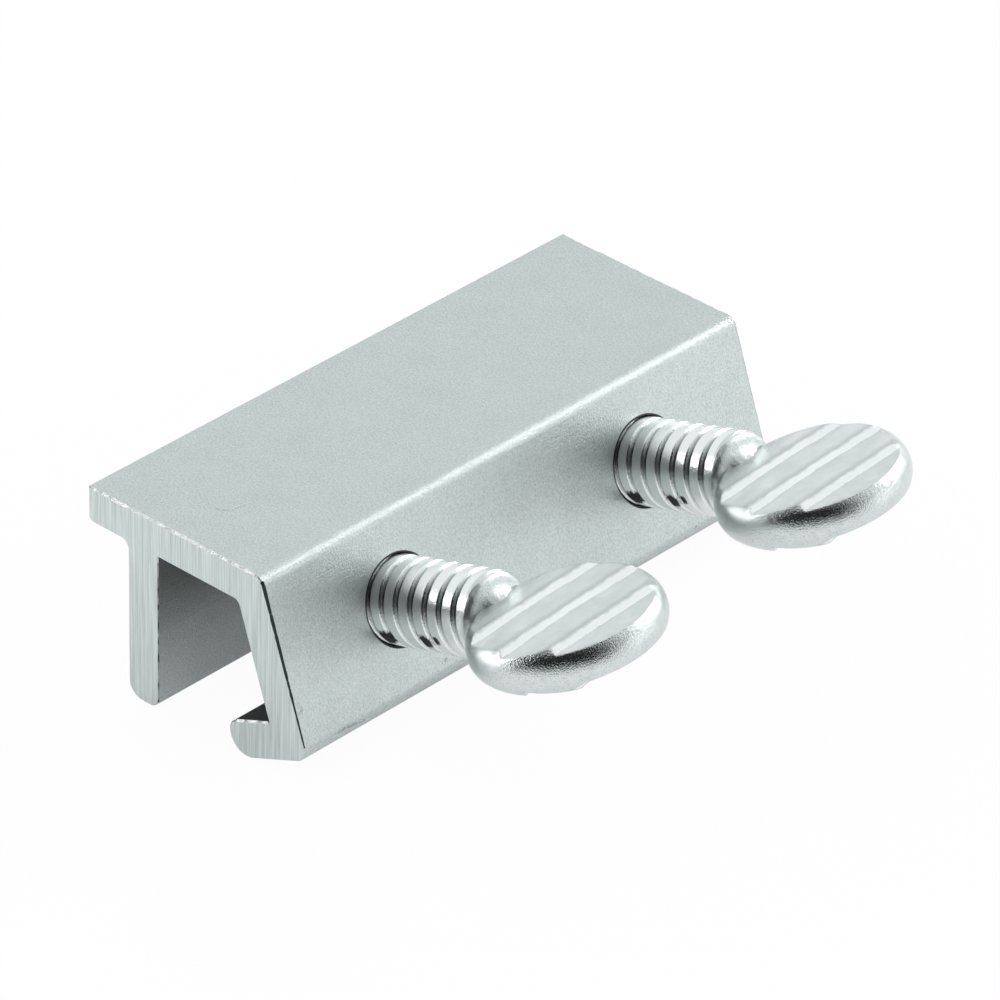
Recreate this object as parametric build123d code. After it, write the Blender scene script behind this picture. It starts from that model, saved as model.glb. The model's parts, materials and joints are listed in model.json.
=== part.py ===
from build123d import *
import math
import os

# Patio door lock: a cut length of aluminium extrusion that straddles the rib of a sliding door's track,
# pinched on the rib by two thumb screws. Millimetres, X across the rib, Y along it, Z up.
# The origin is the middle of the channel's roof, which sits on top of the rib.

# Extrusion, seen on its end
body_length = 36.5
channel_width = 5.8
plate_thickness = 2.1
flange_overhang = 2.9
leg_thickness = 2.2
leg_depth = 9.5
wall_thickness = 2.3
wall_length = 10.3
wall_slant = 19.2
lip_thickness = 2.15
lip_reach = 3.35
lip_tilt = 22.5

# Rounded corners of the extrusion
plate_edge_radius = 0.7
hook_heel_radius = 0.9
lip_under_radius = 1.2
lip_nose_radius = 0.8
channel_corner_radius = 0.4
leg_toe_radius = 0.95
leg_heel_radius = 0.7
flange_root_radius = 0.5
flange_edge_radius = 0.35

# Holes through the slanted wall for the screws
screw_inset = 8.725
screw_drop = 4.85
screw_rise = 17.0
hole_chamfer = 0.1
thread_clearance = 0.05
cut_margin = 0.6

# Shank of a thumb screw, which stands out of the wall at rest
thread_diameter = 4.83
shank_length = 9.525
shank_stand_out = 7.4
tip_chamfer = 0.45
neck_chamfer = 0.4

# Paddle head of a thumb screw
head_diameter = 10.7
head_overlap = 0.6
head_web = 2.2
head_turn = 6.0
rim_radius = 1.5
ridge_count = 3
ridge_pitch = 2.75
ridge_offset = 0.3
ridge_height = 0.22
ridge_fall = 0.4
ridge_crest_radius = 0.15
ridge_valley_radius = 0.15

# Directions in the section: down the slanted wall, along the lip and up off the lip
slant = math.radians(wall_slant)
tilt = math.radians(lip_tilt)
down_wall = Vector(math.sin(slant), -math.cos(slant))
along_lip = Vector(-math.cos(tilt), -math.sin(tilt))
off_lip = Vector(-math.sin(tilt), math.cos(tilt))

# Corners of the section before rounding: X stays X, and the sketch's Y is the part's Z
leg_face_x = -channel_width / 2
wall_face_x = channel_width / 2
leg_back_x = leg_face_x - leg_thickness
flange_x = leg_back_x - flange_overhang
plate_corner_x = wall_face_x + wall_thickness / math.cos(slant) - plate_thickness * math.tan(slant)
hook_turn = tilt - slant
lip_root_run = (wall_thickness - lip_thickness * math.sin(hook_turn)) / math.cos(hook_turn)

plate_corner = Vector(plate_corner_x, plate_thickness)
hook_heel = plate_corner + down_wall * wall_length
lip_root = hook_heel + off_lip * lip_thickness + along_lip * lip_root_run
lip_nose = lip_root + along_lip * lip_reach
lip_under = lip_nose - off_lip * lip_thickness
roof_corner = Vector(wall_face_x, 0)
leg_corner = Vector(leg_face_x, 0)
leg_heel = Vector(leg_face_x, -leg_depth)
leg_toe = Vector(leg_back_x, -leg_depth)
flange_root = Vector(leg_back_x, 0)
flange_under = Vector(flange_x, 0)
flange_top = Vector(flange_x, plate_thickness)

section_corners = [
    flange_top, plate_corner, hook_heel, lip_under, lip_nose, lip_root,
    roof_corner, leg_corner, leg_heel, leg_toe, flange_root, flange_under,
]
corner_roundings = [
    (plate_corner, plate_edge_radius),
    (hook_heel, hook_heel_radius),
    (lip_under, lip_under_radius),
    (lip_nose, lip_nose_radius),
    (roof_corner, channel_corner_radius),
    (leg_heel, leg_heel_radius),
    (leg_toe, leg_toe_radius),
    (flange_root, flange_root_radius),
    (flange_under, flange_edge_radius),
]

# Screws: through the slanted wall, each at the same distance from its end of the lock
rise = math.radians(screw_rise)
screw_axis = Vector(math.cos(rise), 0, math.sin(rise))
hole_spot = plate_corner + down_wall * screw_drop
hole_reach = body_length / 2 - screw_inset
hole_radius = thread_diameter / 2 + thread_clearance
screw_sides = {"front_thumb_screw": -1, "rear_thumb_screw": 1}

# Stations along a screw, counted outward from the wall's outer face
tip_station = shank_stand_out - shank_length
head_start = shank_stand_out - head_overlap
head_middle = head_start + head_diameter / 2
head_end = head_start + head_diameter
web_side = head_web / 2
crest_side = web_side + ridge_height
first_crest = head_middle + ridge_offset - ridge_pitch * (ridge_count - 1) / 2
first_foot = first_crest + ridge_fall - ridge_pitch

from_below = (Align.CENTER, Align.CENTER, Align.MIN)
from_above = (Align.CENTER, Align.CENTER, Align.MAX)


def round_corners(sketch, roundings):
    """Round the named corners of a sketch, each by its own radius."""
    for point, radius in roundings:
        sketch = fillet(sketch.vertices().sort_by_distance(point)[0], radius)
    return sketch


def screw_plane(side):
    """Plane on the wall's outer face at a hole: Z is the screw's axis, and X runs along the lock."""
    spot = Vector(hole_spot.X, side * hole_reach, hole_spot.Y)
    return Plane(origin=spot, x_dir=(0, 1, 0), z_dir=screw_axis)


def make_body():
    """The extrusion: its section pushed to length, then drilled and chamfered for the screws."""
    section = round_corners(make_face(Polyline(*section_corners, close=True)), corner_roundings)
    body = extrude(Plane.XZ * section, amount=body_length / 2, both=True)
    drill_length = wall_thickness + 2 * cut_margin
    drill = Pos(0, 0, cut_margin) * Cylinder(hole_radius, drill_length, align=from_above)
    countersink = Cone(hole_radius, hole_radius + hole_chamfer, hole_chamfer, align=from_above)
    for side in screw_sides.values():
        body -= screw_plane(side) * drill
        body -= screw_plane(side) * countersink
    return body


def make_paddle():
    """The head: a disc with a round rim, cut to ridges across both faces that fall away towards its end."""
    flat_radius = head_diameter / 2 - rim_radius
    disc = Torus(flat_radius, rim_radius) + Cylinder(flat_radius, 2 * rim_radius)
    disc = Pos(0, 0, head_middle) * Rot(90, 0, 0) * disc

    feet = [(web_side, first_foot + ridge_pitch * ridge) for ridge in range(ridge_count + 1)]
    crests = [(crest_side, first_crest + ridge_pitch * ridge) for ridge in range(ridge_count)]
    teeth = [point for pair in zip(feet, crests) for point in pair] + [feet[-1]]
    upper_edge = [(web_side, head_start - ridge_pitch)] + teeth + [(web_side, head_end + ridge_pitch)]
    lower_edge = [(-across, station) for across, station in reversed(upper_edge)]
    ridged = make_face(Polyline(*upper_edge, *lower_edge, close=True))
    roundings = [(point, ridge_crest_radius) for point in crests]
    roundings += [(point, ridge_valley_radius) for point in feet[1:]]
    roundings += [((-across, station), radius) for (across, station), radius in roundings]
    ridged = round_corners(ridged, roundings)
    return disc & extrude(Plane.YZ * ridged, amount=head_diameter / 2 + cut_margin, both=True)


def make_screw():
    """One forged thumb screw on its own axis: shank, chamfered at both ends, and paddle head in one piece."""
    shank = Pos(0, 0, tip_station) * Cylinder(thread_diameter / 2, shank_length, align=from_below)
    shank = chamfer(shank.edges().group_by(Axis.Z)[0], tip_chamfer)
    shank = chamfer(shank.edges().group_by(Axis.Z)[-1], neck_chamfer)
    return shank + make_paddle()


def main():
    os.makedirs("parts", exist_ok=True)
    nodes = {"lock_body": make_body()}
    screw = Rot(0, 0, head_turn) * make_screw()
    for name, side in screw_sides.items():
        nodes[name] = screw_plane(side) * screw
    for name, solid in nodes.items():
        export_step(solid, f"parts/{name}.step")


main()
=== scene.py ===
import json
import math

import bmesh
import bpy
import numpy as np
from mathutils import Matrix, Vector, noise

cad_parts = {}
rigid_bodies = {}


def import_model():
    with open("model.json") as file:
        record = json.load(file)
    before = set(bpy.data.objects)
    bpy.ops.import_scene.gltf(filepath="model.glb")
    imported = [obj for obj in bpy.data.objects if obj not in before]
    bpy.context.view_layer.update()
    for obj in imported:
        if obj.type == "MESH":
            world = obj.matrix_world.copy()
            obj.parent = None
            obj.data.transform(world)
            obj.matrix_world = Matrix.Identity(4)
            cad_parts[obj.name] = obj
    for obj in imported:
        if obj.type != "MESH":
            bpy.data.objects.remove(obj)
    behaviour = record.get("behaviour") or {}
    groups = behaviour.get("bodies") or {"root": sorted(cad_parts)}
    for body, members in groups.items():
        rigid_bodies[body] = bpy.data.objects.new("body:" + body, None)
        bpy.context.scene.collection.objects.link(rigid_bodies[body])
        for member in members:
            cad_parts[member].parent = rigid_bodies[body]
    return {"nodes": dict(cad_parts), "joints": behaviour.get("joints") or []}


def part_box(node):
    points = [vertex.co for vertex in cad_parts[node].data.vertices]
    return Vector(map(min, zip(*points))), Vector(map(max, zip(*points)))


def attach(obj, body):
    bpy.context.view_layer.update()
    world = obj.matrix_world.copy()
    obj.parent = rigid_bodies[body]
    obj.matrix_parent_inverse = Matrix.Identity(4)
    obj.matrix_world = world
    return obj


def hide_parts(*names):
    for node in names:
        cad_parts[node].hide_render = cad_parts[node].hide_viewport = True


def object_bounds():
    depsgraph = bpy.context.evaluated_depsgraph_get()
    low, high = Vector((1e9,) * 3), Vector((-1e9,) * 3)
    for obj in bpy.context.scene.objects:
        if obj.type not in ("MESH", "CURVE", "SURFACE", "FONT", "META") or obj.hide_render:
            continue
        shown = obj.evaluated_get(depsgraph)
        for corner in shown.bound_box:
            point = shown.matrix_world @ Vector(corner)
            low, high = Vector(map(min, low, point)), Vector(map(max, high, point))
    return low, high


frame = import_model()
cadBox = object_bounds()
scene = bpy.context.scene
scene.view_settings.view_transform = "Standard"
mm = 0.001
hair = 0.001 * mm  # points closer than this count as level
midTones = (0.3, 0.7)  # noise between these is spread to full contrast
print("frame loaded:", ", ".join(sorted(frame["nodes"])))


# node helpers, shared by the materials and the screws' shapes
def wire(tree, value, socket):
    if isinstance(value, bpy.types.NodeSocket):
        tree.links.new(value, socket)
    else:
        socket.default_value = value


def addNode(tree, kind, sockets=None, **settings):
    node = tree.nodes.new(kind)
    for name, value in settings.items():
        setattr(node, name, value)
    for key, value in (sockets or {}).items():
        wire(tree, value, node.inputs[key])
    return node


def calc(tree, operation, a, b=0.0, c=0.0, clamp=False):
    sockets = {0: a, 1: b, 2: c}
    return addNode(tree, "ShaderNodeMath", sockets, operation=operation, use_clamp=clamp).outputs[0]


def vectorCalc(tree, operation, sockets, result="Vector"):
    return addNode(tree, "ShaderNodeVectorMath", sockets, operation=operation).outputs[result]


def remap(tree, value, low, high, toLow=0.0, toHigh=1.0, shape="LINEAR"):
    sockets = {"Value": value, "From Min": low, "From Max": high, "To Min": toLow, "To Max": toHigh}
    return addNode(tree, "ShaderNodeMapRange", sockets, interpolation_type=shape).outputs["Result"]


def stretched(tree, place, scale):
    return addNode(tree, "ShaderNodeMapping", {"Vector": place, "Scale": scale}).outputs["Vector"]


def splitAxes(tree, vector):
    return addNode(tree, "ShaderNodeSeparateXYZ", {0: vector}).outputs


def stored(tree, name, kind="Fac"):
    return addNode(tree, "ShaderNodeAttribute", attribute_name=name).outputs[kind]


def grain(tree, place, scale, detail=2.0, roughness=0.5):
    sockets = {"Vector": place, "Scale": scale, "Detail": detail, "Roughness": roughness}
    return addNode(tree, "ShaderNodeTexNoise", sockets).outputs["Fac"]


# noise is a half on average, so this frays a value without shifting it
def frayed(tree, value, speckle, amount):
    return calc(tree, "MULTIPLY_ADD", speckle, amount, calc(tree, "SUBTRACT", value, amount / 2))


def blendColour(tree, factor, first, second):
    node = addNode(tree, "ShaderNodeMix", data_type="RGBA")
    wire(tree, factor, node.inputs[0])
    wire(tree, first, node.inputs[6])
    wire(tree, second, node.inputs[7])
    return node.outputs[2]


def addBump(tree, shader, depth, height):
    bump = addNode(tree, "ShaderNodeBump", {"Strength": 1.0, "Distance": depth, "Height": height})
    wire(tree, bump.outputs["Normal"], shader.inputs["Normal"])


def newMaterial(name):
    material = bpy.data.materials.new(name)
    material.use_nodes = True
    tree = material.node_tree
    return material, tree, tree.nodes["Principled BSDF"]


# distance from the nearest of some strokes, each a run of points
def nearestStroke(tree, place, strokes):
    nearest = None
    for points in strokes:
        for start, end in zip(points, points[1:]):
            run = Vector(end) - Vector(start)
            fromStart = vectorCalc(tree, "SUBTRACT", {0: place, 1: start})
            share = vectorCalc(tree, "DOT_PRODUCT", {0: fromStart, 1: run}, "Value")
            share = calc(tree, "DIVIDE", share, run.length_squared, clamp=True)
            spot = vectorCalc(tree, "SCALE", {0: run, "Scale": share})
            away = vectorCalc(tree, "DISTANCE", {0: fromStart, 1: spot}, "Value")
            nearest = away if nearest is None else calc(tree, "MINIMUM", nearest, away)
    return nearest


# mill finish aluminium, in millimetres: speckled skin, die lines along the length,
# saw lines and burrs on both cut ends, with painted highlights and painted shadow lines
# along the edges, and painted shade in the holes, the hook and the channel
millFinish = {
    "pale": (0.72, 0.78, 0.77, 1.0),
    "deep": (0.46, 0.505, 0.50, 1.0),
    "sawnPale": (0.78, 0.845, 0.835, 1.0),
    "sawnDeep": (0.53, 0.585, 0.58, 1.0),
    "grimeAndShade": (0.035, 0.042, 0.042, 1.0),
    # painted highlight on the burrs and on the lip's top
    "highlightTint": (0.95, 0.97, 0.97, 1.0),
    # painted shadow line down the wall, and painted shade along the channel's edges
    "shadeTint": (0.035, 0.045, 0.045, 1.0),
    "burrRamp": (0.15, 0.6),
    "sawnFacing": (0.9, 0.97),
    "speckle": (9.0, 3.0, 0.65),  # scale, detail and roughness of each noise
    "cloud": (0.45, 3.0, 0.55),
    "dieNoise": (1.0, 2.0, 0.6),
    "sawNoise": (1.0, 3.0, 0.6),
    "dieLines": (5.0, 0.05, 5.0),  # how the noise is stretched to lines
    "sawLines": (10.0, 1.0, 0.22),
    "cloudShare": 0.12,
    "dieShare": 0.25,
    "roughness": 0.32,
    "roughSpread": 0.12,
    "sawnRough": 0.07,
    "bumpDepth": 0.036 * mm,
    "oxide": 0.24,  # share of the skin that is dull oxide instead of bare metal
    "scratches": [
        [(-1.74, -15.17, 2.1), (-1.46, -15.02, 2.1), (-1.06, -14.71, 2.1), (-1.09, -14.01, 2.1)],
        [(-6.5, 16.0, 2.1), (-6.2, 16.3, 2.1)],
        [(6.96, -17.98, -4.67), (7.04, -17.79, -4.88), (7.12, -17.84, -5.13), (7.13, -18.11, -5.17)],
    ],
    "scratchWidth": 0.10,
    "scratchDepth": -0.8,
    "stains": [
        [(7.79, -15.69, -7.06), (7.81, -14.74, -7.10), (7.86, -13.66, -7.26)],
        [(7.81, 11.87, -7.10), (7.80, 11.93, -7.06)],
        [(7.62, -7.56, -6.55), (7.60, -7.50, -6.51)],
    ],
    "stainWidth": 0.16,
    "stainFray": 0.3,
    "stainStrength": 0.45,
    "boreRun": (0, 3),  # painted shade, black inside the tapped holes, from the screw's tip
    "boreEdge": 2.55,
    "boreFade": 0.02,
    "hookCorner": (5.15, 0.0, -6.47),  # painted shade in the hook's corner
    "hookReach": 3.4,
    "hookFade": 0.6,
    "hookFacing": (-0.2, -0.35),
    "hookStrength": 0.93,
    "legFacing": (0.8, 0.9),  # painted shade on the leg's inner face, darker towards the roof
    "legSide": (-2.2, -2.6),
    "roofShade": (-5.0, -1.0),
    "roofFray": 1.6,
    "roofStrength": 0.5,
}


# stains, and painted shade in the tapped holes, the hook's corner and on the leg's inner face by the roof
def millDirtAndShade(tree, spec, place, facing, speckle):
    stain = frayed(tree, nearestStroke(tree, place, spec["stains"]), speckle, spec["stainFray"])
    stain = remap(tree, stain, spec["stainWidth"], 0.0, 0.0, spec["stainStrength"], "SMOOTHSTEP")

    bores = [[tip @ Vector((0, 0, along)) / mm for along in spec["boreRun"]] for tip in screwFrames.values()]
    bore = nearestStroke(tree, place, bores)
    bore = remap(tree, bore, spec["boreEdge"] + spec["boreFade"], spec["boreEdge"])

    fromCorner = vectorCalc(tree, "SUBTRACT", {0: place, 1: spec["hookCorner"]})
    away = vectorCalc(tree, "LENGTH", {0: stretched(tree, fromCorner, (1, 0, 1))}, "Value")
    hook = remap(tree, away, spec["hookReach"] + spec["hookFade"], spec["hookReach"])
    inward = remap(tree, facing["X"], *spec["hookFacing"], 0.0, spec["hookStrength"])
    hook = calc(tree, "MULTIPLY", hook, inward)

    # painted shade on the leg's inner face, darker towards the roof
    spot = splitAxes(tree, place)
    leg = remap(tree, facing["X"], *spec["legFacing"])
    leg = calc(tree, "MULTIPLY", leg, remap(tree, spot["X"], *spec["legSide"]))
    roof = frayed(tree, spot["Z"], speckle, spec["roofFray"])
    roof = remap(tree, roof, *spec["roofShade"], 0.0, spec["roofStrength"])
    sootAndShade = calc(tree, "MULTIPLY", leg, roof)

    darkening = calc(tree, "MAXIMUM", stain, bore)
    darkening = calc(tree, "MAXIMUM", darkening, hook)
    return calc(tree, "MAXIMUM", darkening, sootAndShade)


def makeAluminium(spec):
    material, tree, shader = newMaterial("millAluminium")
    coords = addNode(tree, "ShaderNodeTexCoord").outputs
    place = stretched(tree, coords["Object"], (1 / mm, 1 / mm, 1 / mm))
    facing = splitAxes(tree, coords["Normal"])
    sawn = remap(tree, calc(tree, "ABSOLUTE", facing["Y"]), *spec["sawnFacing"])
    speckle = grain(tree, place, *spec["speckle"])
    cloud = grain(tree, place, *spec["cloud"])
    dieLine = grain(tree, stretched(tree, place, spec["dieLines"]), *spec["dieNoise"])
    sawLine = grain(tree, stretched(tree, place, spec["sawLines"]), *spec["sawNoise"])

    tone = calc(tree, "MULTIPLY", speckle, 1 - spec["cloudShare"])
    tone = calc(tree, "MULTIPLY_ADD", cloud, spec["cloudShare"], tone)
    skin = blendColour(tree, remap(tree, tone, *midTones), spec["deep"], spec["pale"])
    cut = blendColour(tree, remap(tree, sawLine, *midTones), spec["sawnDeep"], spec["sawnPale"])
    colour = blendColour(tree, sawn, skin, cut)
    # burr attribute: burrs painted bright as highlights, and painted shadow lines and shade along edges
    burrAndShade = stored(tree, "burrAndShade")
    low, high = spec["burrRamp"]
    colour = blendColour(tree, remap(tree, burrAndShade, low, high), colour, spec["highlightTint"])
    colour = blendColour(tree, remap(tree, burrAndShade, -low, -high), colour, spec["shadeTint"])
    # grime colour carries the stains and the painted shade
    darkening = millDirtAndShade(tree, spec, place, facing, speckle)
    wire(tree, blendColour(tree, darkening, colour, spec["grimeAndShade"]), shader.inputs["Base Color"])

    shine = frayed(tree, spec["roughness"], speckle, spec["roughSpread"])
    wire(tree, calc(tree, "MULTIPLY_ADD", sawn, spec["sawnRough"], shine), shader.inputs["Roughness"])
    shader.inputs["Metallic"].default_value = 1 - spec["oxide"]

    groove = nearestStroke(tree, place, spec["scratches"])
    groove = remap(tree, groove, 0.0, spec["scratchWidth"], spec["scratchDepth"], 0.0, "SMOOTHSTEP")
    smooth = calc(tree, "MULTIPLY_ADD", speckle, 1 - spec["dieShare"], groove)
    smooth = calc(tree, "MULTIPLY_ADD", dieLine, spec["dieShare"], smooth)
    height = addNode(tree, "ShaderNodeMix", {0: sawn, 2: smooth, 3: sawLine}).outputs[0]
    addBump(tree, shader, spec["bumpDepth"], height)
    return material


# bright zinc plate on the screws, worked in each screw's own millimetres
zincPlate = {
    "bright": (0.77, 0.805, 0.80, 1.0),
    "dull": (0.66, 0.705, 0.70, 1.0),
    # painted highlight on the ridges' falls and the thread's lands
    "paintedHighlight": (0.93, 0.96, 0.955, 1.0),
    "highlightFray": 0.5,
    "highlightRamp": (0.2, 0.7),
    # painted shade before the ridges' crests
    "shade": (0.40, 0.44, 0.44, 1.0),
    "shadeStrength": 0.55,
    # painted shade in the thread's roots
    "rootShade": (0.16, 0.18, 0.18, 1.0),
    "rootRamp": (0.4, 1.0),
    "rootStrength": 0.7,
    "pitRamp": (0.5, 0.7),
    "pitStrength": 0.6,
    "stain": (0.04, 0.045, 0.05, 1.0),
    "sootFray": 0.6,
    "sootRamp": (0.45, 0.6),
    "sootRough": 0.4,
    "roughness": 0.21,
    "roughSpread": 0.12,
    "rimPolish": 0.16,
    "neck": (9.3, 11.0),  # rough forged part next to the shank
    "neckFade": (0.2, 0.4),
    "neckRough": 0.16,
    "grain": (11.0, 3.0, 0.6),  # scale, detail and roughness of each noise
    "wear": (1.1, 4.0, 0.6),
    "bumpDepth": 0.030 * mm,
    "rimGrain": 0.5,  # share of the grain that only the rim and the neck have
    "faceOxide": 0.25,  # the ridged faces are milkier than the rim
    "faceStart": (10.2, 10.8),
}


def makeZinc(spec):
    material, tree, shader = newMaterial("brightZinc")
    place = stored(tree, "screwPlace", "Vector")
    station = splitAxes(tree, place)["Z"]
    marks = splitAxes(tree, stored(tree, "marks", "Vector"))
    ridge, root, rim = marks["X"], marks["Y"], marks["Z"]
    fine = grain(tree, place, *spec["grain"])
    wear = grain(tree, place, *spec["wear"])
    start, end = spec["neck"]
    fadeIn, fadeOut = spec["neckFade"]
    neck = remap(tree, station, start - fadeIn, start)
    neck = calc(tree, "MULTIPLY", neck, remap(tree, station, end, start + fadeOut))
    coarse = calc(tree, "MAXIMUM", rim, neck)

    plate = blendColour(tree, remap(tree, wear, *midTones), spec["dull"], spec["bright"])
    # painted highlight on the ridges' falls and the thread's lands, then painted shade before the ridges'
    # crests
    paintedHighlight = frayed(tree, ridge, fine, spec["highlightFray"])
    plate = blendColour(tree, remap(tree, paintedHighlight, *spec["highlightRamp"]), plate, spec["paintedHighlight"])
    shade = remap(tree, ridge, 0.0, -1.0, 0.0, spec["shadeStrength"])
    plate = blendColour(tree, shade, plate, spec["shade"])
    # painted shade in the thread's roots
    darkening = remap(tree, root, *spec["rootRamp"], 0.0, spec["rootStrength"])
    plate = blendColour(tree, darkening, plate, spec["rootShade"])
    pits = remap(tree, fine, *spec["pitRamp"], 0.0, spec["pitStrength"])
    plate = blendColour(tree, calc(tree, "MULTIPLY", pits, coarse), plate, spec["shade"])
    sootAndShade = frayed(tree, stored(tree, "sootAndShade"), fine, spec["sootFray"])
    sootAndShade = remap(tree, sootAndShade, *spec["sootRamp"])
    wire(tree, blendColour(tree, sootAndShade, plate, spec["stain"]), shader.inputs["Base Color"])

    shine = frayed(tree, spec["roughness"], wear, spec["roughSpread"])
    shine = calc(tree, "MULTIPLY_ADD", rim, -spec["rimPolish"], shine)
    shine = calc(tree, "MULTIPLY_ADD", neck, spec["neckRough"], shine)
    wire(tree, calc(tree, "MULTIPLY_ADD", sootAndShade, spec["sootRough"], shine), shader.inputs["Roughness"])
    face = calc(tree, "MULTIPLY", remap(tree, station, *spec["faceStart"]), remap(tree, rim, 1.0, 0.0))
    wire(tree, calc(tree, "MULTIPLY_ADD", face, -spec["faceOxide"], 1.0), shader.inputs["Metallic"])

    depth = calc(tree, "MULTIPLY_ADD", coarse, spec["rimGrain"], 1 - spec["rimGrain"])
    addBump(tree, shader, spec["bumpDepth"], calc(tree, "MULTIPLY", fine, depth))
    return material


# mesh helpers
def addPiece(name, mesh):
    piece = bpy.data.objects.new(name, mesh)
    scene.collection.objects.link(piece)
    return piece


def bakeModifiers(piece):
    bpy.context.view_layer.update()
    mesh = bpy.data.meshes.new_from_object(piece.evaluated_get(bpy.context.evaluated_depsgraph_get()))
    piece.modifiers.clear()
    piece.data = mesh


def meshPoints(mesh):
    return np.array([vertex.co for vertex in mesh.vertices], np.float32)


def storeMarks(mesh, name, kind, field, values):
    marks = mesh.attributes.new(name, kind, "POINT")
    marks.data.foreach_set(field, values.astype(np.float32).ravel())


def tubeFaces(rings, around):
    faces = []
    for ring in range(rings - 1):
        near, far = ring * around, (ring + 1) * around
        for i in range(around):
            j = (i + 1) % around
            faces.append((near + i, near + j, far + j, far + i))
    return faces


# where each screw lies: its tip on the axis, and its own millimetre frame with Z along the axis
screwNodes = {"front_screw": "front_thumb_screw", "rear_screw": "rear_thumb_screw"}


def screwFrame(nodeName, bodyName):
    joint = [j for j in frame["joints"] if j["child"] == bodyName][0]
    axis = Vector(joint["axis"]).normalized()
    side = Vector((0, 1, 0))
    turned = Matrix((side, axis.cross(side), axis)).transposed()
    points = np.array([vertex.co for vertex in frame["nodes"][nodeName].data.vertices])
    station = points @ np.array(axis)
    tip = Vector(points[station < station.min() + hair].mean(0))
    return Matrix.Translation(tip) @ turned.to_4x4() @ Matrix.Scale(mm, 4)


screwFrames = {bodyName: screwFrame(nodeName, bodyName) for bodyName, nodeName in screwNodes.items()}
aluminium = makeAluminium(millFinish)
zinc = makeZinc(zincPlate)
print("materials ready:", aluminium.name, zinc.name)


# lock body: the extrusion's section taken off its near end, its arcs made finer,
# then drawn to length and drilled
lockBody = {
    "arcRun": 0.5 * mm,  # section edges shorter than this lie on an arc
    "arcTurn": math.radians(40),
    "pointRun": 0.22 * mm,
    "edgeBreak": 0.05 * mm,
    "leastBreak": 0.03 * mm,
    "burrWidth": 0.10 * mm,
    "burrUneven": 0.05 * mm,
    "burrMargin": 0.02 * mm,
    "darkWidth": 0.13 * mm,  # top of the painted shadow line down the wall
    "darkTaper": 0.009,
    "darkUneven": 0.02 * mm,
    "raggedScales": (2.6, 7.3),
    "raggedFine": 0.8,
    "toneUneven": 0.55,
    "plateTop": 2.0 * mm,  # where the burrs and the painted edge shade are, on the section
    "plateFacing": 0.95,
    "wallSide": 4.0 * mm,
    "wallFoot": -6.9 * mm,
    "wallFacing": 0.7,
    "lipTop": -5.0 * mm,
    "lipFacing": (-0.2, 0.8),
    "channelSides": (-3.0 * mm, 5.5 * mm),
    "channelRoof": -0.3 * mm,
    "channelFacing": 0.9,
    "holeRadius": 2.465,  # the drill, in the screw's millimetres
    "holeChamfer": 0.03,
    "wallStation": 2.125,  # wall's outer face, from the screw's tip
    "drillDepth": 3.2,
    "drillClear": 1.0,
    "drillSides": 96,
    "smoothAngle": math.radians(28),
}
# tones of the burr attribute: painted highlight, painted shadow line, painted edge shade
burrHighlight, shadowLine, edgeShade = 1.0, -1.0, -0.45


def endOutline(node):
    work = bmesh.new()
    work.from_mesh(node.data)
    bmesh.ops.remove_doubles(work, verts=work.verts, dist=hair / 2)
    near = min(vertex.co.y for vertex in work.verts)
    cap = {face for face in work.faces if all(vertex.co.y < near + hair for vertex in face.verts)}
    edges = [edge for edge in work.edges if sum(face in cap for face in edge.link_faces) == 1]
    after = {}
    for edge in edges:
        face = [face for face in edge.link_faces if face in cap][0]
        loop = [loop for loop in face.loops if loop.edge == edge][0]
        after[loop.vert.index] = loop.link_loop_next.vert.index
    work.verts.ensure_lookup_table()
    start = next(iter(after))
    walk = [start]
    while after[walk[-1]] != start:
        walk.append(after[walk[-1]])
    outline = np.array([(work.verts[i].co.x, work.verts[i].co.z) for i in walk])
    work.free()
    return outline  # anticlockwise, seen from the near end


def headings(outline):
    run = np.roll(outline, -1, 0) - outline
    length = np.linalg.norm(run, axis=1)
    heading = np.arctan2(run[:, 1], run[:, 0])
    turn = (heading - np.roll(heading, 1) + math.pi) % math.tau - math.pi
    return run, length, turn


def finerArcs(outline, spec):
    for level in range(2):  # each level halves the edges along the arcs
        run, length, turn = headings(outline)
        finer = []
        for i, point in enumerate(outline):
            finer.append(point)
            turns = [t for t in (turn[i], turn[(i + 1) % len(outline)]) if abs(t) < spec["arcTurn"]]
            if length[i] < spec["arcRun"] and turns:
                bend = max(turns, key=abs)
                right = np.array((run[i][1], -run[i][0]))
                finer.append(point + run[i] / 2 + right / 2 * math.tan(bend / 4))
        outline = np.array(finer)
    run, length = headings(outline)[:2]
    stations = []
    for point, step, size in zip(outline, run, length):
        pieces = max(1, round(size / spec["pointRun"]))
        stations += [point + step * k / pieces for k in range(pieces)]
    return np.array(stations)


def burrAndShadeTone(outward, point, spec):
    (faceX, faceZ), (x, z) = outward, point
    if faceZ > spec["plateFacing"] and z > spec["plateTop"]:
        return burrHighlight  # burr along the top plate's edge, painted bright as a highlight
    if faceX > spec["wallFacing"] and x > spec["wallSide"] and z > spec["wallFoot"]:
        return shadowLine  # painted shadow line under the burr down the slanted wall
    lipX, lipZ = spec["lipFacing"]
    if faceZ > lipZ and faceX < lipX and z < spec["lipTop"]:
        return burrHighlight  # painted highlight on top of the hook's lip
    left, right = spec["channelSides"]
    if abs(faceX) > spec["channelFacing"] and left < x < right and z < spec["channelRoof"]:
        return edgeShade  # painted shade along the edges inside the channel
    return 0.0


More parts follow.
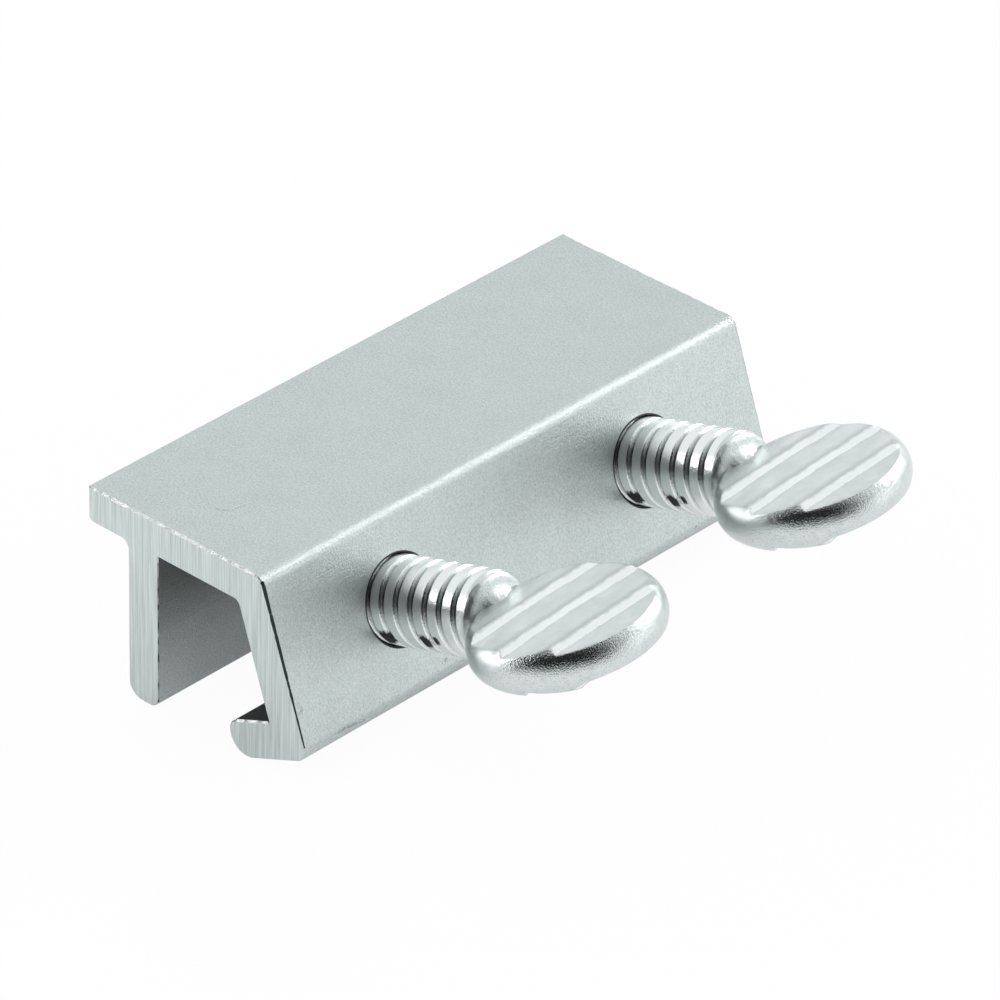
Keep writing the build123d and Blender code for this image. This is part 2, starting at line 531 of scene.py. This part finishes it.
# painted highlight and shade tones along the cut ends' edges, and how far each edge is broken
def burrEdges(outline, outward, spec):
    coarse, fine = spec["raggedScales"]
    tones, breaks = [], []
    for point, normal in zip(outline, outward):
        spot = Vector((point[0] / mm, 0, point[1] / mm))
        ragged = noise.noise(spot * coarse) + spec["raggedFine"] * noise.noise(spot * fine)
        tone = burrAndShadeTone(normal / np.linalg.norm(normal), point, spec)
        width = spec["edgeBreak"]
        if tone == burrHighlight:
            width = spec["burrWidth"] + spec["burrUneven"] * ragged
        elif tone == shadowLine:
            width = spec["darkWidth"] + spec["darkTaper"] * (point[1] - spec["plateTop"])
            width += spec["darkUneven"] * ragged
        tones.append(tone * (1.0 + spec["toneUneven"] * ragged))
        breaks.append(max(width, spec["leastBreak"]))
    return np.array(tones), np.array(breaks)[:, None]


def sawnMesh(spec):
    low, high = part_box("lock_body")
    outline = finerArcs(endOutline(frame["nodes"]["lock_body"]), spec)
    count = len(outline)
    run, length = headings(outline)[:2]
    right = np.stack((run[:, 1], -run[:, 0]), 1) / length[:, None]
    outward = right + np.roll(right, 1, 0)
    outward /= (outward * right).sum(1)[:, None]
    tones, breaks = burrEdges(outline, outward, spec)
    wide = breaks + spec["burrMargin"]
    plain = np.zeros(count)
    ends = [(0.0, wide, plain), (0.0, breaks, tones), (breaks, 0.0, tones), (wide, 0.0, plain)]
    rings, ringTones = [], []
    for end, inward, steps in ((low.y, 1, ends), (high.y, -1, ends[::-1])):
        for back, inset, tone in steps:
            section = outline - outward * inset
            along = end + inward * (np.zeros((count, 1)) + back)
            rings.append(np.concatenate((section[:, :1], along, section[:, 1:]), 1))
            ringTones.append(tone)
    last = (len(rings) - 1) * count
    faces = [tuple(range(count)), tuple(range(last, last + count))] + tubeFaces(len(rings), count)
    mesh = bpy.data.meshes.new("sawnExtrusion")
    mesh.from_pydata(np.concatenate(rings).tolist(), [], faces)
    work = bmesh.new()
    work.from_mesh(mesh)
    bmesh.ops.recalc_face_normals(work, faces=work.faces)
    work.to_mesh(mesh)
    work.free()
    storeMarks(mesh, "burrAndShade", "FLOAT", "value", np.concatenate(ringTones))
    mesh.materials.append(aluminium)
    return mesh


def drillMesh(spec, place):
    radius, edge, wall = spec["holeRadius"], spec["holeChamfer"], spec["wallStation"]
    clear, around = spec["drillClear"], spec["drillSides"]
    flare = (radius + edge + clear, wall + clear)
    profile = [(radius, wall - spec["drillDepth"]), (radius, wall - edge), flare]
    points = []
    for size, station in profile:
        for step in range(around):
            angle = math.tau * step / around
            points.append((size * math.cos(angle), size * math.sin(angle), station))
    last = len(points) - around
    faces = [tuple(reversed(range(around))), tuple(range(last, last + around))]
    mesh = bpy.data.meshes.new("drill")
    mesh.from_pydata(points, [], faces + tubeFaces(len(profile), around))
    mesh.transform(place)
    mesh.materials.append(aluminium)
    return mesh


def makeLockBody(spec):
    piece = addPiece("sawnExtrusion", sawnMesh(spec))
    drills = []
    for place in screwFrames.values():
        drill = addPiece("drill", drillMesh(spec, place))
        cut = piece.modifiers.new("drilled", "BOOLEAN")
        cut.object = drill
        cut.solver = "EXACT"
        drills.append(drill)
    bakeModifiers(piece)
    for drill in drills:
        bpy.data.objects.remove(drill)
    piece.data.shade_smooth()
    piece.data.set_sharp_from_angle(angle=spec["smoothAngle"])
    even = piece.modifiers.new("evenShade", "WEIGHTED_NORMAL")
    even.keep_sharp = True
    bakeModifiers(piece)
    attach(piece, "body")
    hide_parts("lock_body")
    return piece


extrusion = makeLockBody(lockBody)
print("lock body:", len(extrusion.data.polygons), "faces")


# a screw's two shapes are node trees that roll a sheet up: turn runs round it, along runs down it
mergeRun = 0.0005  # in millimetres


def openTree(name, spec):
    tree = bpy.data.node_groups.new(name, "GeometryNodeTree")
    for key, value in spec.items():
        kind = "NodeSocketInt" if isinstance(value, int) else "NodeSocketFloat"
        tree.interface.new_socket(key, in_out="INPUT", socket_type=kind)
    tree.interface.new_socket("Plate", in_out="INPUT", socket_type="NodeSocketMaterial")
    tree.interface.new_socket("Geometry", in_out="OUTPUT", socket_type="NodeSocketGeometry")
    given = addNode(tree, "NodeGroupInput").outputs
    sockets = {"Size X": 1.0, "Size Y": 1.0, "Vertices X": given["Around"], "Vertices Y": given["Rings"]}
    sheet = addNode(tree, "GeometryNodeMeshGrid", sockets).outputs["Mesh"]
    spot = splitAxes(tree, addNode(tree, "GeometryNodeInputPosition").outputs[0])
    turn = calc(tree, "ADD", spot["X"], 0.5)
    along = calc(tree, "ADD", spot["Y"], 0.5)
    return tree, given, sheet, turn, along


def closeTree(tree, given, sheet, x, y, z):
    place = addNode(tree, "ShaderNodeCombineXYZ", {"X": x, "Y": y, "Z": z}).outputs[0]
    shaped = addNode(tree, "GeometryNodeSetPosition", {"Geometry": sheet, "Position": place}).outputs[0]
    sockets = {"Geometry": shaped, "Distance": mergeRun}
    shaped = addNode(tree, "GeometryNodeMergeByDistance", sockets).outputs[0]
    here = addNode(tree, "GeometryNodeInputPosition").outputs[0]
    lump = grain(tree, here, given["Uneven Scale"])
    sink = calc(tree, "MULTIPLY", calc(tree, "MULTIPLY", lump, -2.0), given["Uneven"])
    outward = addNode(tree, "GeometryNodeInputNormal").outputs[0]
    shift = vectorCalc(tree, "SCALE", {0: outward, "Scale": sink})
    shaped = addNode(tree, "GeometryNodeSetPosition", {"Geometry": shaped, "Offset": shift}).outputs[0]
    shaped = addNode(tree, "GeometryNodeRealizeInstances", {"Geometry": shaped}).outputs[0]
    sockets = {"Geometry": shaped, "Material": given["Plate"]}
    shaped = addNode(tree, "GeometryNodeSetMaterial", sockets).outputs[0]
    tree.links.new(shaped, addNode(tree, "NodeGroupOutput").inputs["Geometry"])
    return tree


def growMesh(tree, spec):
    piece = addPiece(tree.name, bpy.data.meshes.new(tree.name))
    modifier = piece.modifiers.new(tree.name, "NODES")
    modifier.node_group = tree
    for item in tree.interface.items_tree:
        if item.in_out == "INPUT":
            modifier[item.identifier] = zinc if item.name == "Plate" else spec[item.name]
    bakeModifiers(piece)
    mesh = piece.data
    bpy.data.objects.remove(piece)
    return mesh


# thread: one helical groove rolled on the shank, in millimetres from the screw's tip
rolledThread = {
    "Outer Radius": 2.41,
    "Depth": 0.25,
    "Pitch": 1.0583,
    "Length": 10.7,
    "Tip Radius": 1.96,
    "Tip Length": 0.45,
    "Thread End": 9.0,
    "Run Out": 0.4,
    "Neck Start": 9.2,
    "Neck Edge": 9.42,
    "Neck Radius": 2.2,
    "Neck Fillet": 1.15,
    "Neck Rough": 0.16,
    "Crest Width": 0.60,  # shares of half a pitch
    "Root Width": 0.06,
    "Cap Share": 0.02,  # rings at either end that close the shank to a point on its axis
    "Uneven": 0.006,
    "Uneven Scale": 1.5,
    "Around": 128,
    "Rings": 264,
}
neckGrain = (3.4, 3.0, 0.65)
wholeTurns = 20.0  # keeps the count of turns above zero


def makeThreadTree(spec):
    tree, given, sheet, turn, along = openTree("rolledThread", spec)
    capEnd = calc(tree, "SUBTRACT", 1.0, given["Cap Share"])
    station = calc(tree, "MULTIPLY", remap(tree, along, given["Cap Share"], capEnd), given["Length"])
    angle = calc(tree, "MULTIPLY", turn, math.tau)
    cosine, sine = calc(tree, "COSINE", angle), calc(tree, "SINE", angle)

    wave = calc(tree, "SUBTRACT", calc(tree, "DIVIDE", station, given["Pitch"]), turn)
    wave = calc(tree, "FRACT", calc(tree, "ADD", wave, wholeTurns))
    tooth = calc(tree, "MULTIPLY", calc(tree, "ABSOLUTE", calc(tree, "SUBTRACT", wave, 0.5)), 2.0)
    crestEdge = calc(tree, "SUBTRACT", 1.0, given["Crest Width"])
    tooth = remap(tree, tooth, given["Root Width"], crestEdge, shape="SMOOTHSTEP")
    runOutEnd = calc(tree, "ADD", given["Thread End"], given["Run Out"])
    depth = calc(tree, "MULTIPLY", given["Depth"], remap(tree, station, runOutEnd, given["Thread End"]))
    groove = calc(tree, "MULTIPLY", calc(tree, "SUBTRACT", 1.0, tooth), depth)
    radius = calc(tree, "SUBTRACT", given["Outer Radius"], groove)
    tip = remap(tree, station, 0.0, given["Tip Length"], given["Tip Radius"], given["Outer Radius"])

    ring = addNode(tree, "ShaderNodeCombineXYZ", {"X": cosine, "Y": sine, "Z": station}).outputs[0]
    rough = calc(tree, "MULTIPLY", grain(tree, ring, *neckGrain), given["Neck Rough"])
    rough = calc(tree, "MULTIPLY", rough, calc(tree, "GREATER_THAN", station, given["Neck Start"]))
    span = (given["Neck Start"], given["Neck Edge"])
    edge = remap(tree, station, *span, given["Outer Radius"], given["Neck Radius"])
    filletEnd = calc(tree, "ADD", given["Neck Edge"], given["Neck Fillet"])
    run = remap(tree, station, given["Neck Edge"], filletEnd, 1.0, 0.0)
    hollow = calc(tree, "SQRT", calc(tree, "SUBTRACT", 1.0, calc(tree, "MULTIPLY", run, run)))
    neck = calc(tree, "SUBTRACT", edge, calc(tree, "MULTIPLY", hollow, given["Neck Fillet"]))
    neck = calc(tree, "SUBTRACT", neck, rough)

    radius = calc(tree, "MINIMUM", calc(tree, "MINIMUM", radius, tip), neck)
    closing = remap(tree, along, 0.0, given["Cap Share"])
    closing = calc(tree, "MULTIPLY", closing, remap(tree, along, 1.0, capEnd))
    radius = calc(tree, "MULTIPLY", radius, closing)
    x, y = calc(tree, "MULTIPLY", radius, cosine), calc(tree, "MULTIPLY", radius, sine)
    return closeTree(tree, given, sheet, x, y, station)


# paddle head: a disc with a round rim, and ridges across both faces that fall away towards its end
ridgedPaddle = {
    "Flat Radius": 3.83,
    "Rim Radius": 1.5,
    "Middle": 14.275,
    "Web Side": 1.1,
    "Ridge Height": 0.22,
    "Ridge Pitch": 2.75,
    "Ridge Count": 3.0,
    "Fall Share": 0.145,
    "Crest Blend": 0.08,
    "First Foot": 9.475,
    "Ridge Skew": 0.095,  # ridges lean this much along the axis for each step across
    "Upper Flute": 0.10,  # how much deeper the ridges run out at the rim, above and below
    "Under Flute": 0.30,
    "Flute Start": 0.45,
    "Edge Blend": 0.06,
    "Face Share": 0.3,  # rings on either face, and the rest round the rim
    "Uneven": 0.010,
    "Uneven Scale": 0.8,
    "Around": 340,
    "Rings": 170,
}
paddleTurn = math.radians(6.0)  # about the screw's axis
screwSmooth = math.radians(65)


def makePaddleTree(spec):
    tree, given, sheet, turn, along = openTree("ridgedPaddle", spec)
    rimEnd = calc(tree, "SUBTRACT", 1.0, given["Face Share"])
    lean = calc(tree, "MULTIPLY", remap(tree, along, given["Face Share"], rimEnd), math.pi)
    spread = remap(tree, along, 0.0, given["Face Share"])
    spread = calc(tree, "MINIMUM", spread, remap(tree, along, 1.0, rimEnd))
    reach = calc(tree, "MULTIPLY", given["Rim Radius"], calc(tree, "SINE", lean))
    reach = calc(tree, "MULTIPLY_ADD", given["Flat Radius"], spread, reach)
    lift = calc(tree, "MULTIPLY", given["Rim Radius"], calc(tree, "COSINE", lean))
    side = calc(tree, "SIGN", lift)
    angle = calc(tree, "MULTIPLY", turn, -math.tau)
    across = calc(tree, "MULTIPLY", reach, calc(tree, "COSINE", angle))
    station = calc(tree, "MULTIPLY_ADD", reach, calc(tree, "SINE", angle), given["Middle"])

    foot = calc(tree, "MULTIPLY", across, side)
    foot = calc(tree, "MULTIPLY_ADD", foot, given["Ridge Skew"], given["First Foot"])
    count = calc(tree, "DIVIDE", calc(tree, "SUBTRACT", station, foot), given["Ridge Pitch"])
    begun = calc(tree, "GREATER_THAN", count, 0.0)
    ridged = calc(tree, "MULTIPLY", begun, calc(tree, "LESS_THAN", count, given["Ridge Count"]))
    tooth = calc(tree, "FRACT", count)
    rise = calc(tree, "DIVIDE", tooth, calc(tree, "SUBTRACT", 1.0, given["Fall Share"]))
    fall = calc(tree, "DIVIDE", calc(tree, "SUBTRACT", 1.0, tooth), given["Fall Share"])
    tooth = calc(tree, "SMOOTH_MIN", rise, fall, given["Crest Blend"])
    tooth = calc(tree, "MULTIPLY", tooth, ridged)
    half = calc(tree, "MULTIPLY_ADD", tooth, given["Ridge Height"], given["Web Side"])

    under = calc(tree, "LESS_THAN", lift, 0.0)
    flute = calc(tree, "SUBTRACT", given["Under Flute"], given["Upper Flute"])
    flute = calc(tree, "MULTIPLY_ADD", flute, under, given["Upper Flute"])
    flute = calc(tree, "MULTIPLY", flute, remap(tree, spread, given["Flute Start"], 1.0))
    flute = calc(tree, "MULTIPLY", flute, begun)
    flute = calc(tree, "MULTIPLY", flute, calc(tree, "SUBTRACT", 1.0, tooth))
    half = calc(tree, "SUBTRACT", half, flute)
    thick = calc(tree, "SMOOTH_MIN", calc(tree, "ABSOLUTE", lift), half, given["Edge Blend"])
    return closeTree(tree, given, sheet, across, calc(tree, "MULTIPLY", thick, side), station)


threadTree = makeThreadTree(rolledThread)
paddleTree = makePaddleTree(ridgedPaddle)


# marks on the screw: painted highlight on the ridges' falls and painted shade before their crests, depth in
# the thread for painted shade in its roots and a painted highlight on its lands, share of the rim
ridgeShading = {
    # size of each wave, and how fast it runs across and along
    "waves": [(0.006, 1.9, 0.9), (0.005, 4.3, -1.6), (0.003, 7.9, 2.7), (0.002, 13.1, -3.4)],
    "faceStart": 0.95,
    "faceFade": 0.1,
    "shadeStart": 0.62,
    "shadeStop": 0.04,  # short of the crest
    "highlightFade": 0.06,
    "highlightShare": 0.88,
    "highlightSpread": 6.0,
    "rimFade": 0.1,
}
landFade = 3.0


# ridge mark: a painted highlight on each fall, painted shade before each crest
def paddleMarks(points, spec, wear):
    across, thick, station = points.T
    count = station - across * np.sign(thick) * spec["Ridge Skew"] - spec["First Foot"]
    count = count / spec["Ridge Pitch"]
    wobble = sum(size * np.sin(wave * across + run * station) for size, wave, run in wear["waves"])
    tooth = (count + wobble) % 1
    crest = 1 - spec["Fall Share"]
    face = np.clip((np.abs(thick) - wear["faceStart"]) / wear["faceFade"], 0, 1)
    face = face * (count > 0) * (count < spec["Ridge Count"])
    shadeRun = crest - wear["shadeStop"] - wear["shadeStart"]
    shade = np.clip((tooth - wear["shadeStart"]) / shadeRun, 0, 1)
    paintedHighlight = np.clip((tooth - crest) / wear["highlightFade"], 0, 1)
    paintedHighlight = paintedHighlight * (wear["highlightShare"] + wear["highlightSpread"] * wobble)
    ridge = np.where(tooth > crest, paintedHighlight, -shade) * face
    past = np.hypot(across, station - spec["Middle"]) - spec["Flat Radius"]
    bulge = np.sqrt(spec["Rim Radius"] ** 2 - np.clip(past, 0, spec["Rim Radius"]) ** 2)
    rim = np.clip(1 - (bulge - np.abs(thick)) / wear["rimFade"], 0, 1)
    return np.stack((ridge, np.zeros_like(ridge), rim), 1)


# lands get a painted highlight, roots painted shade
def threadMarks(points, spec):
    depth = (spec["Outer Radius"] - np.hypot(points[:, 0], points[:, 1])) / spec["Depth"]
    inThread = (points[:, 2] > spec["Tip Length"]) * (points[:, 2] < spec["Thread End"])
    root = np.clip(depth, 0, 1) * inThread
    land = np.clip(1 - landFade * depth, 0, 1) * inThread
    return np.stack((land, root, np.zeros(len(points))), 1)


# soot left on the underside of the thread
sootSpots = {
    "radius": 2.35,
    "fade": 0.5,
    # station, angle round the shank and size
    "spots": [(2.8, -149.0, 0.56), (5.8, -155.0, 0.5), (6.7, -161.0, 0.3)],
}


def sootMarks(points, spec):
    sootAndShade = np.zeros(len(points), np.float32)
    for along, angle, size in spec["spots"]:
        turn = math.radians(angle)
        centre = np.array((spec["radius"] * math.cos(turn), spec["radius"] * math.sin(turn), along))
        away = np.linalg.norm(points - centre, axis=1)
        sootAndShade = np.maximum(sootAndShade, np.clip(1 - spec["fade"] * away / size, 0, 1))
    return sootAndShade


def makeThumbScrew(nodeName, bodyName):
    thread = growMesh(threadTree, rolledThread)
    paddle = growMesh(paddleTree, ridgedPaddle)
    marks = [threadMarks(meshPoints(thread), rolledThread)]
    marks.append(paddleMarks(meshPoints(paddle), ridgedPaddle, ridgeShading))
    paddle.transform(Matrix.Rotation(paddleTurn, 4, "Z"))
    join = bmesh.new()
    for mesh in (thread, paddle):
        join.from_mesh(mesh)
    mesh = bpy.data.meshes.new(bodyName + "Dressed")
    join.to_mesh(mesh)
    join.free()
    mesh.materials.append(zinc)
    mesh.shade_smooth()
    mesh.set_sharp_from_angle(angle=screwSmooth)
    local = meshPoints(mesh)
    storeMarks(mesh, "marks", "FLOAT_VECTOR", "vector", np.concatenate(marks))
    storeMarks(mesh, "screwPlace", "FLOAT_VECTOR", "vector", local)
    storeMarks(mesh, "sootAndShade", "FLOAT", "value", sootMarks(local, sootSpots))
    mesh.transform(screwFrames[bodyName])
    piece = addPiece(bodyName + "Dressed", mesh)
    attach(piece, bodyName)
    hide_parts(nodeName)
    return piece


for bodyName, nodeName in screwNodes.items():
    screw = makeThumbScrew(nodeName, bodyName)
    print("thumb screw:", screw.name, len(screw.data.polygons), "faces")


# studio: white sweep, soft lamps, and a dark card that only the metal sees
studio = {
    "tentColour": (0.97, 1.0, 1.0, 1.0),
    "tentStrength": 0.88,
    "white": (1.0, 1.0, 1.0, 1.0),
    "paper": (0.9, 0.9, 0.9, 1.0),
    "floorSize": 3.0,
    "whiteShare": 0.96,  # of the floor, for the camera
    "glossShare": 0.26,  # of the floor, in the metal's reflections
    "lamps": [
        {"name": "backStrip", "from": (0.15, 0.75, 0.42), "size": (0.5, 0.11), "power": 2.2},
        {"name": "backTop", "from": (-0.28, 0.44, 0.73), "size": (0.26, 0.26), "power": 0.03},
        {"name": "rightBack", "from": (0.72, 0.56, 0.13), "size": (0.5, 0.25), "power": 0.3},
        {"name": "leftKey", "from": (-0.78, -0.47, 0.14), "size": (0.25, 0.32), "power": 1.5},
    ],
}
darkCard = {
    "colour": (0.01, 0.01, 0.01, 1.0),
    "azimuth": 25.0,
    "spread": 69.0,
    "low": 3.0,
    "high": 77.0,
    "distance": 0.5,
    "steps": 12,
}


def mixShaders(tree, factor, first, second, output):
    mix = addNode(tree, "ShaderNodeMixShader", {0: factor})
    tree.links.new(first.outputs[0], mix.inputs[1])
    tree.links.new(second.outputs[0], mix.inputs[2])
    tree.links.new(mix.outputs[0], output.inputs["Surface"])


def makeTent(spec):
    world = bpy.data.worlds.new("whiteTent")
    scene.world = world
    world.use_nodes = True
    tree = world.node_tree
    path = addNode(tree, "ShaderNodeLightPath").outputs
    tent = tree.nodes["Background"]
    tent.inputs["Color"].default_value = spec["tentColour"]
    tent.inputs["Strength"].default_value = spec["tentStrength"]
    plain = addNode(tree, "ShaderNodeBackground", {"Color": spec["white"], "Strength": 1.0})
    mixShaders(tree, path["Is Camera Ray"], tent, plain, tree.nodes["World Output"])


def makeFloor(spec, level):
    half = spec["floorSize"] / 2
    corners = [(-half, -half, level), (half, -half, level), (half, half, level), (-half, half, level)]
    mesh = bpy.data.meshes.new("paleFloor")
    mesh.from_pydata(corners, [], [(0, 1, 2, 3)])
    floor = addPiece("paleFloor", mesh)
    material = bpy.data.materials.new("palePaper")
    material.use_nodes = True
    tree = material.node_tree
    tree.nodes.clear()
    path = addNode(tree, "ShaderNodeLightPath").outputs
    mirrored = calc(tree, "MAXIMUM", path["Is Glossy Ray"], path["Is Transmission Ray"])
    share = calc(tree, "MULTIPLY", path["Is Camera Ray"], spec["whiteShare"])
    share = calc(tree, "MAXIMUM", share, calc(tree, "MULTIPLY", mirrored, spec["glossShare"]))
    paper = addNode(tree, "ShaderNodeBsdfDiffuse", {"Color": spec["paper"]})
    white = addNode(tree, "ShaderNodeEmission", {"Color": spec["white"], "Strength": 1.0})
    mixShaders(tree, share, paper, white, addNode(tree, "ShaderNodeOutputMaterial"))
    mesh.materials.append(material)


def makeCard(spec):
    rows = []
    for step in range(spec["steps"] + 1):
        share = 2 * step / spec["steps"] - 1
        turn = math.radians(spec["azimuth"] + spec["spread"] * share)
        for lift in (spec["low"], spec["high"]):
            rise = math.radians(lift)
            flat = spec["distance"] * math.cos(rise)
            rows.append((flat * math.sin(turn), -flat * math.cos(turn), spec["distance"] * math.sin(rise)))
    faces = [(2 * i, 2 * i + 2, 2 * i + 3, 2 * i + 1) for i in range(spec["steps"])]
    mesh = bpy.data.meshes.new("darkCard")
    mesh.from_pydata(rows, [], faces)
    card = addPiece("darkCard", mesh)
    material, tree, shader = newMaterial("blackCard")
    shader.inputs["Base Color"].default_value = spec["colour"]
    shader.inputs["Roughness"].default_value = 1.0
    mesh.materials.append(material)
    card.visible_camera = False
    card.visible_diffuse = False
    card.visible_shadow = False


def makeLamps(spec, centre):
    for lamp in spec["lamps"]:
        light = bpy.data.lights.new(lamp["name"], "AREA")
        light.shape = "RECTANGLE"
        light.size, light.size_y = lamp["size"]
        light.energy = lamp["power"]
        body = bpy.data.objects.new(lamp["name"], light)
        body.location = lamp["from"]
        body.rotation_euler = (Vector(centre) - Vector(lamp["from"])).to_track_quat("-Z", "Y").to_euler()
        body.visible_camera = False
        scene.collection.objects.link(body)


makeTent(studio)
makeFloor(studio, cadBox[0][2])
makeCard(darkCard)
makeLamps(studio, (0, 0, 0))
print("studio ready")


# camera: the photograph's viewing angle, turning round a point inside the channel
cameraView = {
    "target": (1.244 * mm, 3.391 * mm, -4.390 * mm),
    "azimuth": 42.370,
    "elevation": 32.340,
    "roll": 1.225,
    "distance": 427.75 * mm,
    "lens": 288.0,
    "sensor": 36.0,
    "clip": (0.01, 10.0),
}


def makeCamera(spec):
    turn, lift, roll = (math.radians(spec[key]) for key in ("azimuth", "elevation", "roll"))
    back = Vector((math.sin(turn) * math.cos(lift), -math.cos(turn) * math.cos(lift), math.sin(lift)))
    right = Vector((math.cos(turn), math.sin(turn), 0))
    up = back.cross(right)
    across = right * math.cos(roll) + up * math.sin(roll)
    axes = Matrix((across, back.cross(across), back)).transposed()
    data = bpy.data.cameras.new("photoCamera")
    data.lens = spec["lens"]
    data.sensor_width = spec["sensor"]
    data.clip_start, data.clip_end = spec["clip"]
    camera = bpy.data.objects.new("photoCamera", data)
    camera.matrix_world = Matrix.Translation(Vector(spec["target"]) + back * spec["distance"]) @ axes.to_4x4()
    scene.collection.objects.link(camera)
    scene.camera = camera


makeCamera(cameraView)
print("camera ready")
